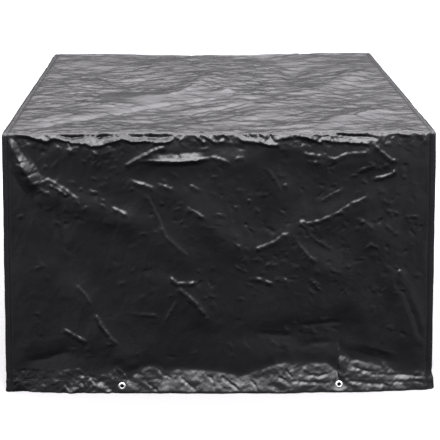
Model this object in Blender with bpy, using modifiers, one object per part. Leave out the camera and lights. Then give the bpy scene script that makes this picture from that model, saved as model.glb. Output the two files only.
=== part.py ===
"""A fitted patio furniture cover of black woven tarpaulin, draped as it stands over its furniture.

One long panel runs up the front, over the top and down the back. A side panel is sewn in at each end,
and its edges roll round the corners to meet the long panel. A hem is turned up round the foot, and
eyelets are pressed through it. Metres, +Z up, the front faces -Y, and the origin is the underside of
the top's centre. Heights in the tables are above the floor, which the hem's lower edge touches.
"""

import math
from collections import namedtuple

import bmesh
import bpy
from mathutils import Matrix, Vector

# Driving dimensions.
HEIGHT = 0.95
SHOULDER_HALF = 0.735  # half the width and half the depth at the shoulder
FOOT_HALF_WIDTH = 0.765  # the sides lean out a little to the floor
FOOT_HALF_DEPTH = 0.745  # front and back, before the hem kicks out
ROLL = 0.020  # radius at the shoulders and the upright corners
SHEET = 0.002
GAP = 0.0003  # between pieces that touch
TOP_SAG = 0.005

HEM_TALL = 0.050
HEM_SHEET = 0.003  # the cloth doubled
HEM_STATION = 0.085  # widest spacing of the hem's columns

EYELET_UP = 0.026  # centre above the hem's lower edge
EYELET_HOLE_RADIUS = 0.00625
EYELET_BARREL_RADIUS = 0.0075
EYELET_FLANGE_RADIUS = 0.013
WASHER_RADIUS = 0.012
LAND_RADII = (0.0076, 0.0112)  # the flange's flat face
LIP_HEIGHT = 0.0009
LAND_HEIGHT = 0.0013
RIM_HEIGHT = 0.0007
WASHER_THICK = 0.0008
EYELET_STEPS = 16
HOLE_RADIUS = 0.0079
HOLE_SEGMENTS = 24
FLAT_HALF = 0.018  # the hem is flat this far each side of an eyelet

SHOULDER_HEIGHT = HEIGHT - ROLL
EDGE_FADE = 0.080  # folds die away this near a seam
KICK_BEND = 0.25  # softness of the bend above the hem

WRAP_COLUMNS = 38
FRONT_ROWS = 24
TOP_ROWS = 16
BACK_ROWS = 9
SHOULDER_STEPS = 3
SIDE_COLUMNS = 17
SIDE_ROWS = 10
FOOT_CROWDING = 1.12  # rows crowd towards the foot, where it bends

# A fold is a ridge (rise above 0) or a trough along a route. A wave is a soft swell of the whole cloth.
# A kick row says where the foot starts to lean out, and how far it has gone at the floor.
Fold = namedtuple("Fold", "rise half_width route")
Wave = namedtuple("Wave", "rise across_length up_length phase")
Kick = namedtuple("Kick", "across start reach")
Wall = namedtuple("Wall", "folds waves kick eyelets sewn_top")

# Across is X on the front and back. The first folds run down from the upper left corner.
FRONT = Wall(
    folds=(
        Fold(0.0130, 0.028, ((-0.706, 0.898), (-0.627, 0.755), (-0.489, 0.693), (-0.319, 0.640))),
        Fold(0.0095, 0.030, ((-0.319, 0.640), (-0.247, 0.575), (-0.114, 0.489))),
        Fold(0.0085, 0.026, ((-0.262, 0.722), (-0.222, 0.636), (-0.198, 0.568))),
        Fold(-0.0095, 0.032, ((-0.580, 0.660), (-0.577, 0.546), (-0.512, 0.474))),
        Fold(0.0095, 0.026, ((-0.581, 0.913), (-0.430, 0.866), (-0.316, 0.920), (-0.171, 0.916))),
        Fold(0.0085, 0.024, ((-0.338, 0.823), (-0.181, 0.902))),
        Fold(0.0095, 0.026, ((-0.268, 0.844), (-0.133, 0.873), (-0.001, 0.848), (0.092, 0.848))),
        Fold(0.0110, 0.026, ((-0.314, 0.769), (-0.158, 0.733), (-0.047, 0.625), (0.069, 0.521))),
        Fold(0.0110, 0.028, ((0.178, 0.902), (0.272, 0.873), (0.369, 0.855), (0.518, 0.866))),
        Fold(0.0095, 0.026, ((0.524, 0.905), (0.566, 0.862), (0.605, 0.844))),
        Fold(0.0080, 0.026, ((0.148, 0.823), (0.186, 0.780), (0.211, 0.726))),
        Fold(0.0110, 0.026, ((0.268, 0.625), (0.348, 0.622), (0.459, 0.686), (0.514, 0.711))),
        Fold(0.0085, 0.026, ((0.125, 0.517), (0.188, 0.543), (0.247, 0.575))),
        Fold(0.0095, 0.026, ((0.269, 0.543), (0.340, 0.467), (0.432, 0.438))),
        Fold(0.0080, 0.024, ((0.484, 0.632), (0.541, 0.586), (0.564, 0.517))),
        Fold(0.0125, 0.028, ((0.609, 0.413), (0.649, 0.356), (0.690, 0.252), (0.715, 0.151))),
        Fold(0.0100, 0.026, ((-0.185, 0.420), (-0.143, 0.384), (-0.086, 0.320), (-0.055, 0.273))),
        Fold(0.0110, 0.026, ((-0.517, 0.392), (-0.458, 0.309), (-0.389, 0.190), (-0.320, 0.110))),
        Fold(0.0080, 0.024, ((-0.552, 0.223), (-0.472, 0.176))),
        Fold(-0.0080, 0.030, ((-0.690, 0.104), (-0.615, 0.122), (-0.533, 0.147))),
        Fold(-0.0095, 0.034, ((0.120, 0.208), (0.280, 0.216), (0.442, 0.252))),
        Fold(-0.0095, 0.034, ((0.273, 0.151), (0.436, 0.194), (0.638, 0.126))),
    ),
    waves=(
        Wave(0.0030, 0.90, 1.90, 0.4),
        Wave(0.0022, -0.52, 0.75, 2.1),
    ),
    kick=(
        Kick(-0.74, 0.090, 0.004),
        Kick(-0.50, 0.086, 0.020),
        Kick(-0.38, 0.095, 0.028),
        Kick(-0.28, 0.086, 0.034),
        Kick(-0.02, 0.074, 0.036),
        Kick(0.07, 0.062, 0.031),
        Kick(0.22, 0.104, 0.036),
        Kick(0.38, 0.093, 0.034),
        Kick(0.50, 0.093, 0.036),
        Kick(0.62, 0.064, 0.030),
        Kick(0.74, 0.064, 0.024),
    ),
    eyelets=(-0.349, 0.425),
    sewn_top=False,
)

BACK = Wall(
    folds=(
        Fold(0.0125, 0.034, ((0.700, 0.880), (0.520, 0.700), (0.330, 0.610), (0.180, 0.470))),
        Fold(0.0110, 0.034, ((-0.690, 0.900), (-0.600, 0.730), (-0.430, 0.620), (-0.390, 0.450))),
        Fold(0.0100, 0.032, ((-0.300, 0.880), (-0.120, 0.830), (0.090, 0.870), (0.270, 0.840))),
        Fold(-0.0095, 0.036, ((0.020, 0.700), (-0.060, 0.520), (-0.200, 0.400))),
        Fold(0.0095, 0.032, ((0.560, 0.400), (0.440, 0.250), (0.390, 0.110))),
        Fold(0.0100, 0.032, ((-0.620, 0.330), (-0.480, 0.210), (-0.400, 0.110))),
    ),
    waves=(
        Wave(0.0032, 1.10, 1.60, 1.3),
        Wave(0.0022, 0.60, -0.80, 0.2),
    ),
    kick=(
        Kick(-0.74, 0.085, 0.008),
        Kick(-0.36, 0.095, 0.026),
        Kick(0.02, 0.074, 0.018),
        Kick(0.39, 0.092, 0.028),
        Kick(0.74, 0.085, 0.010),
    ),
    eyelets=(-0.372, 0.386),
    sewn_top=False,
)

# Across is Y on the sides.
LEFT = Wall(
    folds=(
        Fold(0.0115, 0.040, ((-0.640, 0.840), (-0.480, 0.660), (-0.300, 0.560), (-0.180, 0.420))),
        Fold(0.0100, 0.040, ((0.620, 0.820), (0.450, 0.620), (0.330, 0.400))),
        Fold(-0.0095, 0.045, ((-0.060, 0.800), (0.060, 0.600), (0.020, 0.380))),
        Fold(0.0095, 0.040, ((-0.520, 0.300), (-0.400, 0.120))),
    ),
    waves=(Wave(0.0030, 1.00, 1.50, 2.6),),
    kick=(
        Kick(-0.70, 0.085, 0.0),
        Kick(-0.37, 0.092, 0.013),
        Kick(0.00, 0.075, 0.008),
        Kick(0.38, 0.092, 0.013),
        Kick(0.70, 0.085, 0.0),
    ),
    eyelets=(-0.379, 0.366),
    sewn_top=True,
)

RIGHT = Wall(
    folds=(
        Fold(0.0115, 0.040, ((0.640, 0.840), (0.420, 0.700), (0.260, 0.540), (0.200, 0.360))),
        Fold(0.0110, 0.040, ((-0.640, 0.800), (-0.500, 0.560), (-0.420, 0.340))),
        Fold(-0.0095, 0.045, ((-0.180, 0.780), (-0.080, 0.620), (-0.140, 0.400))),
        Fold(0.0095, 0.040, ((0.560, 0.320), (0.430, 0.130))),
    ),
    waves=(Wave(0.0030, 1.15, -1.40, 0.9),),
    kick=(
        Kick(-0.70, 0.080, 0.0),
        Kick(-0.38, 0.090, 0.012),
        Kick(0.05, 0.075, 0.007),
        Kick(0.37, 0.095, 0.014),
        Kick(0.70, 0.085, 0.0),
    ),
    eyelets=(-0.368, 0.381),
    sewn_top=True,
)

# Across is X on the top, and up is Y: long shallow troughs fan out from the front left corner.
TOP_FOLDS = (
    Fold(-0.0095, 0.038, ((-0.680, -0.700), (-0.536, -0.600), (-0.394, -0.493), (-0.040, -0.245))),
    Fold(-0.0085, 0.038, ((-0.288, -0.555), (-0.104, -0.478), (0.074, -0.331))),
    Fold(0.0095, 0.040, ((-0.261, -0.191), (-0.152, -0.099), (-0.089, 0.036), (-0.038, 0.179))),
    Fold(0.0080, 0.036, ((-0.031, -0.023), (0.103, -0.155))),
    Fold(0.0095, 0.038, ((0.427, -0.540), (0.640, -0.397))),
    Fold(0.0095, 0.070, ((-0.400, -0.240), (-0.290, -0.180))),
    Fold(-0.0095, 0.042, ((0.230, 0.620), (0.350, 0.380), (0.300, 0.120))),
    Fold(0.0085, 0.040, ((0.640, 0.300), (0.500, 0.080), (0.360, -0.060))),
    Fold(-0.0080, 0.042, ((-0.600, 0.450), (-0.430, 0.300), (-0.360, 0.080))),
)
TOP_WAVES = (
    Wave(0.0028, 0.85, 1.40, 1.1),
    Wave(0.0020, -0.47, 0.60, 0.3),
)


def smooth(t):
    """0 below 0, 1 above 1, and an easy S between."""
    t = min(1.0, max(0.0, t))
    return t * t * (3.0 - 2.0 * t)


def distance_to_route(across, up, route):
    """The shortest distance from a point of the cloth to a fold's line."""
    nearest = math.inf
    for (a1, u1), (a2, u2) in zip(route, route[1:]):
        run, climb = a2 - a1, u2 - u1
        t = ((across - a1) * run + (up - u1) * climb) / (run * run + climb * climb)
        t = min(1.0, max(0.0, t))
        nearest = min(nearest, math.hypot(across - a1 - t * run, up - u1 - t * climb))
    return nearest


def relief(folds, waves, across, up):
    """How far the folds and the soft waves lift the cloth at this place."""
    lift = sum(
        fold.rise * math.exp(-((distance_to_route(across, up, fold.route) / fold.half_width) ** 2))
        for fold in folds
    )
    lift += sum(
        wave.rise * math.sin(math.tau * (across / wave.across_length + up / wave.up_length) + wave.phase)
        for wave in waves
    )
    return lift


def between(rows, across, column):
    """A column of a kick table at this place, eased from row to row."""
    if across <= rows[0].across:
        return getattr(rows[0], column)
    for low, high in zip(rows, rows[1:]):
        if across <= high.across:
            t = smooth((across - low.across) / (high.across - low.across))
            return getattr(low, column) * (1.0 - t) + getattr(high, column) * t
    return getattr(rows[-1], column)


def half_width(height):
    """The plain side's distance from the middle: it leans out from the shoulder to the floor."""
    fall = 1.0 - min(height, SHOULDER_HEIGHT) / SHOULDER_HEIGHT
    return SHOULDER_HALF + (FOOT_HALF_WIDTH - SHOULDER_HALF) * fall


def half_depth(height):
    """The same for the plain front and back."""
    fall = 1.0 - min(height, SHOULDER_HEIGHT) / SHOULDER_HEIGHT
    return SHOULDER_HALF + (FOOT_HALF_DEPTH - SHOULDER_HALF) * fall


def seam_x(height):
    """The seam between the wrap and a side panel, where the corner starts to turn."""
    return half_width(height) - ROLL


def kick_out(wall, across, height):
    """How far the foot leans out at this height: a soft bend, then straight to the floor."""
    fall = max(0.0, 1.0 - height / between(wall.kick, across, "start"))
    bent = (math.hypot(fall, KICK_BEND) - KICK_BEND) / (math.hypot(1.0, KICK_BEND) - KICK_BEND)
    return between(wall.kick, across, "reach") * bent


def beside_eyelet(wall, across):
    """The eyelet's own place when this one is within its flat patch, so that the hem is flat there."""
    for eyelet in wall.eyelets:
        if abs(across - eyelet) <= FLAT_HALF + GAP:
            return eyelet
    return across


def wall_out(wall, across, height):
    """How far a wall's outer face stands out from the plain wall."""
    if height <= HEM_TALL + GAP:
        across = beside_eyelet(wall, across)
    reach = (half_depth(height) if wall.sewn_top else half_width(height)) - ROLL
    kept = smooth((reach - abs(across)) / EDGE_FADE)
    if wall.sewn_top:
        kept *= smooth((SHOULDER_HEIGHT - height) / EDGE_FADE)
    return kept * relief(wall.folds, wall.waves, across, height) + kick_out(wall, across, height)


def top_relief(x, y):
    """How far the top's outer face stands above its sewn edges."""
    kept = smooth((seam_x(HEIGHT) - abs(x)) / EDGE_FADE)
    sag = TOP_SAG * (1.0 - (x / seam_x(HEIGHT)) ** 2)
    return kept * relief(TOP_FOLDS, TOP_WAVES, x, y) - sag


TOP_Z = SHEET - top_relief(0.0, 0.0)
FLOOR_Z = TOP_Z - HEIGHT


def front_y(x, height):
    return -half_depth(height) - wall_out(FRONT, x, height)


def back_y(x, height):
    return half_depth(height) + wall_out(BACK, x, height)


def wall_point(wall, across, height, depth):
    """A point of a wall, this deep under its outer face. The depth is measured level."""
    z = FLOOR_Z + height
    if wall is FRONT:
        return Vector((across, front_y(across, height) + depth, z))
    if wall is BACK:
        return Vector((across, back_y(across, height) - depth, z))
    out = half_width(height) + GAP / 2 + wall_out(wall, across, height) - depth
    return Vector((out if wall is RIGHT else -out, across, z))


def share(index, count):
    """Index 0 to count as 0 to 1."""
    return index / count


def mapped_sheet(bm, columns, rows, point, depth):
    """A grid of the cloth: its vertex at column i and row j goes to point(i, j, depth)."""
    made = bmesh.ops.create_grid(bm, x_segments=columns, y_segments=rows, size=1.0)
    for vertex in made["verts"]:
        i = round((vertex.co.x + 1.0) / 2.0 * columns)
        j = round((vertex.co.y + 1.0) / 2.0 * rows)
        vertex.co = point(i, j, depth)


def closed_sheet(name, thickness, grids, material, collection):
    """An object from an outer and an inner face, joined round their edges into one closed sheet."""
    bm = bmesh.new()
    for depth in (0.0, thickness):
        for columns, rows, point in grids:
            mapped_sheet(bm, columns, rows, point, depth)
    bmesh.ops.remove_doubles(bm, verts=bm.verts, dist=1e-5)
    rim = [edge for edge in bm.edges if edge.is_boundary]
    bmesh.ops.bridge_loops(bm, edges=rim)
    bmesh.ops.recalc_face_normals(bm, faces=bm.faces)
    return finished(name, bm, material, collection)


def finished(name, bm, material, collection):
    mesh = bpy.data.meshes.new(name)
    bm.to_mesh(mesh)
    bm.free()
    mesh.materials.append(material)
    mesh.shade_smooth()
    mesh.set_sharp_from_angle(angle=math.radians(50))
    made = bpy.data.objects.new(name, mesh)
    collection.objects.link(made)
    return made


def wall_height(row, rows):
    """Heights of a panel's rows, from just above the hem to the shoulder, closer together at the foot."""
    foot = HEM_TALL + GAP
    return foot + (SHOULDER_HEIGHT - foot) * share(row, rows) ** FOOT_CROWDING


def shoulder_point(x, y_wall, inward, turn, depth):
    """The wrap's turn over a shoulder: a quarter circle that meets the top where the folds leave it."""
    y_edge = y_wall + inward * ROLL
    rise = top_relief(x, y_edge)
    radius = ROLL - depth
    y = y_edge - inward * radius * math.cos(turn)
    z = TOP_Z - ROLL + (radius + rise) * math.sin(turn)
    return Vector((x, y, z))


def wrap_panel(material, collection):
    """Front, top and back: one panel."""
    marks = (
        ("front", FRONT_ROWS),
        ("front_shoulder", SHOULDER_STEPS),
        ("top", TOP_ROWS),
        ("back_shoulder", SHOULDER_STEPS),
        ("back", BACK_ROWS),
    )

    def point(i, j, depth):
        side = 2.0 * share(i, WRAP_COLUMNS) - 1.0
        for stretch, rows in marks:
            if j <= rows:
                break
            j -= rows
        if stretch == "front":
            height = wall_height(j, rows)
            return wall_point(FRONT, side * (seam_x(height) - GAP / 2), height, depth)
        if stretch == "back":
            height = wall_height(rows - j, rows)
            return wall_point(BACK, side * (seam_x(height) - GAP / 2), height, depth)
        x = side * (seam_x(HEIGHT) - GAP / 2)
        y_front, y_back = front_y(x, SHOULDER_HEIGHT), back_y(x, SHOULDER_HEIGHT)
        turn = math.radians(90) * share(j, rows)
        if stretch == "front_shoulder":
            return shoulder_point(x, y_front, 1, turn, depth)
        if stretch == "back_shoulder":
            return shoulder_point(x, y_back, -1, math.radians(90) - turn, depth)
        y = y_front + ROLL + (y_back - y_front - 2 * ROLL) * share(j, rows)
        return Vector((x, y, TOP_Z + top_relief(x, y) - depth))

    rows_in_all = sum(rows for _, rows in marks)
    return closed_sheet("wrap_panel", SHEET, [(WRAP_COLUMNS, rows_in_all, point)], material, collection)


def corner_middle(side, height, is_front):
    """The middle of a corner's turn at this height, on the side of the front or the back."""
    x = side * (seam_x(height) + GAP / 2)
    y = front_y(x, height) + ROLL if is_front else back_y(x, height) - ROLL
    return Vector((x, y, FLOOR_Z + height))


def seam_path(side):
    """The seam's way up the front, over the top and down the back: the roll's middle and facing."""
    path = []
    for row in range(SIDE_ROWS + 1):
        path.append((corner_middle(side, wall_height(row, SIDE_ROWS), True), Vector((0, -1, 0))))
    front, back = path[-1][0], corner_middle(side, SHOULDER_HEIGHT, False)
    for step in range(1, SHOULDER_STEPS + 1):
        turn = math.radians(90) * share(step, SHOULDER_STEPS)
        path.append((front, Vector((0, -math.cos(turn), math.sin(turn)))))
    for column in range(1, SIDE_COLUMNS + 1):
        path.append((front.lerp(back, share(column, SIDE_COLUMNS)), Vector((0, 0, 1))))
    for step in range(1, SHOULDER_STEPS + 1):
        turn = math.radians(90) * share(step, SHOULDER_STEPS)
        path.append((back, Vector((0, math.sin(turn), math.cos(turn)))))
    for row in range(1, SIDE_ROWS + 1):
        height = wall_height(SIDE_ROWS - row, SIDE_ROWS)
        path.append((corner_middle(side, height, False), Vector((0, 1, 0))))
    return path


def rolled(middle, facing, side, step, depth):
    """A point of the roll, from the seam at step 0 to the side's face at the last step."""
    turn = math.radians(90) * share(step, SHOULDER_STEPS)
    out = Vector((side, 0, 0))
    return middle + (facing * math.cos(turn) + out * math.sin(turn)) * (ROLL - depth)


def side_panel(name, wall, side, material, collection):
    """A side's face, with its top, front and back edges rolled over to the wrap's seam."""
    path = seam_path(side)

    def roll_point(i, j, depth):
        middle, facing = path[i]
        return rolled(middle, facing, side, j, depth)

    def face_point(i, j, depth):
        height = wall_height(j, SIDE_ROWS)
        front, back = corner_middle(side, height, True), corner_middle(side, height, False)
        return wall_point(wall, front.lerp(back, share(i, SIDE_COLUMNS)).y, height, depth)

    grids = [
        (len(path) - 1, SHOULDER_STEPS, roll_point),
        (SIDE_COLUMNS, SIDE_ROWS, face_point),
    ]
    return closed_sheet(name, SHEET, grids, material, collection)


def hem_stations(wall, limit):
    """Places of a hem's inner columns: the edges of each eyelet's flat patch, and even steps between."""
    marks = [-limit]
    for eyelet in wall.eyelets:
        marks += [eyelet - FLAT_HALF, eyelet + FLAT_HALF]
    marks.append(limit)
    stations = []
    for low, high in zip(marks, marks[1:]):
        steps = math.ceil((high - low) / HEM_STATION)
        stations += [low + (high - low) * share(step, steps) for step in range(steps)]
    return stations + [limit]


def hem_of_wrap(name, wall, material, collection):
    """The hem along the foot of the front or the back."""
    stations = hem_stations(wall, seam_x(HEM_TALL) - HEM_STATION / 2)

    def point(i, j, depth):
        height = HEM_TALL * j
        end = seam_x(height) - GAP / 2
        across = ([-end] + stations + [end])[i]
        return wall_point(wall, across, height, depth)

    return closed_sheet(name, HEM_SHEET, [(len(stations) + 1, 1, point)], material, collection)


def hem_of_side(name, wall, side, material, collection):
    """The hem along the foot of a side, with its turn at each corner."""
    stations = hem_stations(wall, SHOULDER_HALF - ROLL - HEM_STATION / 2)
    last_face = SHOULDER_STEPS + len(stations) + 1

    def point(i, j, depth):
        height = HEM_TALL * j
        if i <= SHOULDER_STEPS:
            return rolled(corner_middle(side, height, True), Vector((0, -1, 0)), side, i, depth)
        if i >= last_face:
            step = SHOULDER_STEPS + last_face - i
            return rolled(corner_middle(side, height, False), Vector((0, 1, 0)), side, step, depth)
        return wall_point(wall, stations[i - SHOULDER_STEPS - 1], height, depth)

    columns = last_face + SHOULDER_STEPS
    return closed_sheet(name, HEM_SHEET, [(columns, 1, point)], material, collection)


def eyelet_place(wall, across):
    """An eyelet's matrix, its local Z along its hole outwards, and the hem's thickness along the hole."""
    foot = wall_point(wall, across, 0.0, 0.0)
    top = wall_point(wall, across, HEM_TALL, 0.0)
    up = (top - foot).normalized()
    along = Vector((1, 0, 0)) if wall in (FRONT, BACK) else Vector((0, 1, 0))
    if wall in (BACK, LEFT):
        along.negate()
    out = along.cross(up)
    turned = Matrix((along, up, out)).transposed().to_4x4()
    middle = foot.lerp(top, EYELET_UP / HEM_TALL)
    return Matrix.Translation(middle) @ turned, HEM_SHEET * up.z


def eyelet(name, place, grip, material, collection):
    """A pressed ring: flange, barrel and washer, turned from their profile."""
    back = -grip - GAP
    profile = (
        (EYELET_HOLE_RADIUS, LIP_HEIGHT),
        (LAND_RADII[0], LAND_HEIGHT),
        (LAND_RADII[1], LAND_HEIGHT),
        (EYELET_FLANGE_RADIUS, RIM_HEIGHT),
        (EYELET_FLANGE_RADIUS, GAP),
        (EYELET_BARREL_RADIUS, GAP),
        (EYELET_BARREL_RADIUS, back),
        (WASHER_RADIUS, back),
        (WASHER_RADIUS, back - WASHER_THICK),
        (EYELET_HOLE_RADIUS, back - WASHER_THICK),
    )
    bm = bmesh.new()
    corners = [bm.verts.new((radius, 0, height)) for radius, height in profile]
    for first, second in zip(corners, corners[1:] + corners[:1]):
        bm.edges.new((first, second))
    made = finished(name, bm, material, collection)
    made.matrix_world = place
    turned = made.modifiers.new("turned", "SCREW")
    turned.steps = turned.render_steps = EYELET_STEPS
    turned.use_merge_vertices = True
    turned.merge_threshold = 1e-5
    return made


def eyelet_hole(name, place, hem, collection):
    """A punched hole through the hem, a little wider than the eyelet's barrel."""
    bm = bmesh.new()
    bmesh.ops.create_cone(
        bm,
        cap_ends=True,
        segments=HOLE_SEGMENTS,
        radius1=HOLE_RADIUS,
        radius2=HOLE_RADIUS,
        depth=HEM_TALL / 2,
    )
    mesh = bpy.data.meshes.new(name)
    bm.to_mesh(mesh)
    bm.free()
    cutter = bpy.data.objects.new(name, mesh)
    collection.objects.link(cutter)
    cutter.matrix_world = place
    cutter.hide_render = True
    cutter.display_type = "WIRE"
    cut = hem.modifiers.new(name, "BOOLEAN")
    cut.operation = "DIFFERENCE"
    cut.object = cutter


def plain_material(name, colour, roughness, metallic):
    material = bpy.data.materials.new(name)
    material.use_nodes = True
    shader = material.node_tree.nodes["Principled BSDF"]
    shader.inputs["Base Color"].default_value = (*colour, 1.0)
    shader.inputs["Roughness"].default_value = roughness
    shader.inputs["Metallic"].default_value = metallic
    return material


def main():
    for old in list(bpy.data.objects):
        bpy.data.objects.remove(old)
    cover = bpy.data.collections.new("patio_furniture_cover")
    cutters = bpy.data.collections.new("cutters")
    for collection in (cover, cutters):
        bpy.context.scene.collection.children.link(collection)

    tarpaulin = plain_material("black_tarpaulin", (0.016, 0.016, 0.018), 0.34, 0.0)
    metal = plain_material("eyelet_metal", (0.72, 0.72, 0.70), 0.30, 1.0)

    pieces = [wrap_panel(tarpaulin, cover)]
    for name, wall, side in (("left", LEFT, -1), ("right", RIGHT, 1)):
        pieces.append(side_panel("side_panel_" + name, wall, side, tarpaulin, cover))

    hems = {
        "front": (FRONT, hem_of_wrap("hem_front", FRONT, tarpaulin, cover)),
        "back": (BACK, hem_of_wrap("hem_back", BACK, tarpaulin, cover)),
        "left": (LEFT, hem_of_side("hem_left", LEFT, -1, tarpaulin, cover)),
        "right": (RIGHT, hem_of_side("hem_right", RIGHT, 1, tarpaulin, cover)),
    }
    for where, (wall, hem) in hems.items():
        pieces.append(hem)
        ends = ("front", "back") if wall.sewn_top else ("left", "right")
        for end, across in zip(ends, wall.eyelets):
            place, grip = eyelet_place(wall, across)
            eyelet_hole(f"hole_{where}_{end}", place, hem, cutters)
            pieces.append(eyelet(f"eyelet_{where}_{end}", place, grip, metal, cover))

    origin = bpy.data.objects.new("patio_furniture_cover", None)
    cover.objects.link(origin)
    for piece in pieces:
        piece.parent = origin


main()
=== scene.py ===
# %% [markdown]
# # A patio furniture cover in black woven tarpaulin
# The imported model already holds the cover's true form: a long wrap over front, top and back, two end
# panels, four hems and eight eyelets. This lesson dresses it. Each panel becomes a fine sheet laid on
# its solid, then creased. Loading comes first, because every later step measures the frame.

# %% Load the frame
import math
from collections import namedtuple

import bmesh
import bpy
import numpy as np
from mathutils import Euler, Matrix, Vector
from mathutils.bvhtree import BVHTree


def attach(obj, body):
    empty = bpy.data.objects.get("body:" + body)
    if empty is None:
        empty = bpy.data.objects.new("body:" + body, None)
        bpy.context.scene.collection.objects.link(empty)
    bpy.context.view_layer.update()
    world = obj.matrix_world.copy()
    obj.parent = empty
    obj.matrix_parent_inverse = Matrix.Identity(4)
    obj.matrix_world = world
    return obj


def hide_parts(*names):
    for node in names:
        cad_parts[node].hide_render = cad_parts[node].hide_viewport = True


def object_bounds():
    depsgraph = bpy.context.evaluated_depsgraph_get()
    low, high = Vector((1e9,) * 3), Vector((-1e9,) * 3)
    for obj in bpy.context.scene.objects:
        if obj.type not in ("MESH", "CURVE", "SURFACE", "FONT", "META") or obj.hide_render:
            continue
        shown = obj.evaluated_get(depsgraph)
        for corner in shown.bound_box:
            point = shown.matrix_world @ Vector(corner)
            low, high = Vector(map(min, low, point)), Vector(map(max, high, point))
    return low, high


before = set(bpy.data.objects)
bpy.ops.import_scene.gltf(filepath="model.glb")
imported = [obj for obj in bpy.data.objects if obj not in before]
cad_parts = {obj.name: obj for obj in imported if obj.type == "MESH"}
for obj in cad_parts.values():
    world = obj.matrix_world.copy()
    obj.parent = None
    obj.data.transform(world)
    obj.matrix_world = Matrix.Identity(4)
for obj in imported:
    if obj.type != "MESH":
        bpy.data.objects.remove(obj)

cad_low, cad_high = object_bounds()
FLOOR = cad_low.z
print("the frame stands from", tuple(cad_low), "to", tuple(cad_high))

# %% [markdown]
# ## The camera
# The cover was photographed from a little above, square to its front. A long lens keeps the uprights
# nearly parallel, and a small downward shift holds the whole cover in the picture.

# %% Set the camera
PICTURE_SIDE = 440
SENSOR_WIDTH = 36.0
LENS_IN_PIXELS = 1095
CAMERA_HEIGHT = 1.881
CAMERA_PLACE = Vector((-0.080, -4.302, FLOOR + CAMERA_HEIGHT))
LOOK_DOWN = 0.2669
TURN_RIGHT = 0.0225
SHIFT = -0.17

camera = bpy.data.objects.new("camera", bpy.data.cameras.new("camera"))
bpy.context.scene.collection.objects.link(camera)
camera.location = CAMERA_PLACE
camera.rotation_euler = Euler((math.pi / 2 - LOOK_DOWN, 0.0, -TURN_RIGHT))
camera.data.sensor_width = SENSOR_WIDTH
camera.data.lens = LENS_IN_PIXELS / PICTURE_SIDE * SENSOR_WIDTH
camera.data.shift_y = SHIFT
bpy.context.scene.camera = camera
print("the lens is", round(camera.data.lens, 1), "mm")

# %% [markdown]
# ## Floor and light
# Black film shows almost only what it mirrors. A bright horizon gives the top its silver tone, because
# the top is seen at a flat angle, and big soft lights above the camera catch each crease that tips
# upwards. Below the horizon the studio is dark, so the walls stay black, but it is graded and lighter to
# both sides, so that their soft dents show. The floor gives light but isn't mirrored.

# %% Short calls for shader nodes
def feed(tree, node, inputs):
    """Fills a node's inputs: each gets a plain value, or a link from another node's output."""
    for key, value in inputs.items():
        if isinstance(value, bpy.types.NodeSocket):
            tree.links.new(value, node.inputs[key])
        else:
            node.inputs[key].default_value = value
    return node


def add_node(tree, kind, inputs=None, **settings):
    node = tree.nodes.new("ShaderNode" + kind)
    for name, value in settings.items():
        setattr(node, name, value)
    return feed(tree, node, inputs or {})


def maths(tree, operation, *values):
    return add_node(tree, "Math", dict(enumerate(values)), operation=operation).outputs[0]


def spread(tree, value, low, high, new_low, new_high):
    """The range from low to high laid over a new one."""
    ends = {"From Min": low, "From Max": high, "To Min": new_low, "To Max": new_high}
    return add_node(tree, "MapRange", {"Value": value, **ends}).outputs["Result"]


def new_finish(name):
    made = bpy.data.materials.new(name)
    made.use_nodes = True
    return made, made.node_tree, made.node_tree.nodes["Principled BSDF"]


# %% Make the floor
FLOOR_SIDE = 90.0
FLOOR_TONE = (0.29, 0.29, 0.29, 1.0)

bm = bmesh.new()
bmesh.ops.create_grid(bm, x_segments=1, y_segments=1, size=FLOOR_SIDE / 2)
bmesh.ops.translate(bm, verts=bm.verts, vec=(0.0, 0.0, FLOOR))
floor = bpy.data.objects.new("floor", bpy.data.meshes.new("floor"))
bm.to_mesh(floor.data)
bm.free()
paper, tree, shader = new_finish("floor_paper")
feed(tree, shader, {"Base Color": FLOOR_TONE, "Roughness": 0.9})
floor.data.materials.append(paper)
bpy.context.scene.collection.objects.link(floor)
floor.visible_glossy = False

# %% Grade the studio
# how bright each direction is, from straight down (-1) to straight up (1)
SKY_STEPS = (
    (-0.68, 0.0), (-0.42, 0.115), (-0.25, 0.145), (-0.05, 0.30), (0.03, 0.22),
    (0.235, 0.10), (0.335, 1.54), (0.50, 1.9), (0.75, 6.0),
)
SKY_MOST = 6.0
SKY_COLOUR = (1.0, 0.975, 1.02, 1.0)
# how much of the extra light below the horizon shows, from straight ahead (0) to the side (1)
SIDE_STEPS = ((0.16, 0.0), (0.42, 1.0), (0.80, 0.0))
SIDES_LIGHTER = 1.8


def grey_ramp(tree, value, steps):
    ramp = add_node(tree, "ValToRGB", {"Fac": value})
    elements = ramp.color_ramp.elements
    while len(elements) < len(steps):
        elements.new(0.5)
    for element, (place, tone) in zip(elements, steps):
        element.position = place
        element.color = (tone, tone, tone, 1.0)
    return ramp.outputs["Color"]


world = bpy.data.worlds.new("studio")
bpy.context.scene.world = world
world.use_nodes = True
sky = world.node_tree
direction = add_node(sky, "TexCoord").outputs["Generated"]
way = add_node(sky, "SeparateXYZ", {0: direction}).outputs
rise = spread(sky, way["Z"], -1.0, 1.0, 0.0, 1.0)
graded = grey_ramp(sky, rise, [((height + 1.0) / 2.0, tone / SKY_MOST) for height, tone in SKY_STEPS])
bright = maths(sky, "MULTIPLY", graded, SKY_MOST)
# the studio is a little brighter behind the right of the cover
uneven = maths(sky, "MULTIPLY", bright, spread(sky, way["X"], -0.15, 0.15, 0.96, 1.13))
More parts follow.
